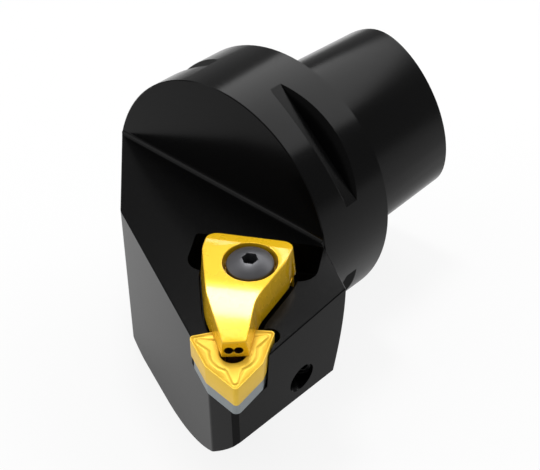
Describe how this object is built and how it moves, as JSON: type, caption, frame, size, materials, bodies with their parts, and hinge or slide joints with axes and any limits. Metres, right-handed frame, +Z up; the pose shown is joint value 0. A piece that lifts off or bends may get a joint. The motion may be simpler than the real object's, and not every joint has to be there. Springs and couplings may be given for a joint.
{
  "type": "turning tool holder",
  "caption": "Right-hand turning tool head with a three-lobed taper shank, a gripper flange and a clamped trigon cutting insert with coolant outlets in the clamp.",
  "frame": {"origin": "centre of the flange face that meets the spindle, on the shank axis", "axes": "+Y points out of the shank end, the cutting head points to -Y, +Z is up with the rake face of the insert looking up, +X points to the side the insert cuts on"},
  "size_m": [0.0764, 0.1029, 0.063],
  "materials": {
    "body_steel": "black oxide steel, satin",
    "insert_coating": "golden nitride coating on carbide",
    "shim_carbide": "ground carbide",
    "screw_steel": "phosphated steel, satin",
    "clamp_coating": "golden nitride coating on steel",
    "spring_steel": "drawn spring steel",
    "seal_rubber": "black nitrile",
    "plug_steel": "plain steel, satin"
  },
  "bodies": {
    "body": {"holder_body": "body_steel", "cutting_insert": "insert_coating", "insert_shim": "shim_carbide", "shim_screw": "screw_steel", "clamp_spring": "spring_steel", "coolant_seal": "seal_rubber", "coolant_plug": "plug_steel"},
    "clamp_arm": {"clamp": "clamp_coating"},
    "screw": {"clamp_screw": "screw_steel"}
  },
  "joints": [
    {"name": "clamp_lift", "type": "slide", "parent": "body", "child": "clamp_arm", "axis": [0.104, -0.104, 0.9891], "range_m": [0, 0.003], "deforming": ["clamp_spring"]},
    {"name": "clamp_screw_turn", "type": "hinge", "parent": "clamp_arm", "child": "screw", "pos_m": [0.02812, -0.0418, 0.00421], "axis": [0.104, -0.104, 0.9891], "range_deg": [0, 1350]}
  ],
  "couplings": [
    {"joint": "clamp_screw_turn", "follows": "clamp_lift", "rad_per_m": 7854}
  ]
}
